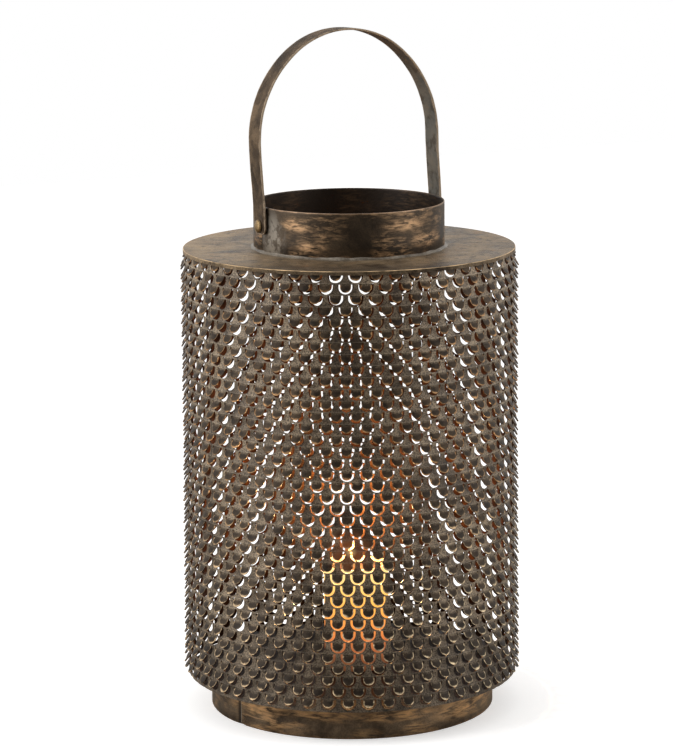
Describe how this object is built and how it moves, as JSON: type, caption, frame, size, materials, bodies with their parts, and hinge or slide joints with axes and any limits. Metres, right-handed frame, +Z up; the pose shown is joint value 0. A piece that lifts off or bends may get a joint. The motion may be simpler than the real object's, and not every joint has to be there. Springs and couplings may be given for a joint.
{
  "type": "punched metal lantern",
  "caption": "Round candle lantern of sheet metal punched all over with bent-out tongues, on a base ring, with an open collar and a swinging strap handle.",
  "frame": {"origin": "centre of the base ring's lower rim, on the ground", "axes": "+Z up along the drum's axis, +X along the handle's rivets, -Y the side nearer the picture's camera"},
  "size_m": [0.2572, 0.2572, 0.5205],
  "materials": {
    "base_sheet": "dark brown patina with copper rubs",
    "floor_sheet": "dark brown patina",
    "drum_sheet": "speckled grey brown patina with copper bright edges",
    "plate_sheet": "streaky brown patina",
    "collar_sheet": "brown patina, copper line at the rim",
    "handle_strap": "brown patina, rubbed at the edges",
    "rivet_brass": "dull brass",
    "candle_wax": "cream wax",
    "wick_cord": "charred"
  },
  "bodies": {
    "lantern": {"base_ring": "base_sheet", "floor_plate": "floor_sheet", "drum_panel_front": "drum_sheet", "drum_panel_right": "drum_sheet", "drum_panel_back": "drum_sheet", "drum_panel_left": "drum_sheet", "top_plate": "plate_sheet", "collar": "collar_sheet", "rivets": "rivet_brass"},
    "bail": {"bail_handle": "handle_strap"},
    "candle": {"candle_body": "candle_wax", "candle_wick": "wick_cord"}
  },
  "joints": [
    {"name": "bail_swing", "type": "hinge", "parent": "lantern", "child": "bail", "pos_m": [0, 0, 0.3757], "axis": [1, 0, 0], "range_deg": [-92.5, 95.5]},
    {"name": "candle_lift", "type": "slide", "parent": "lantern", "child": "candle", "axis": [0, 0, 1], "range_m": [0, 0.37]}
  ]
}
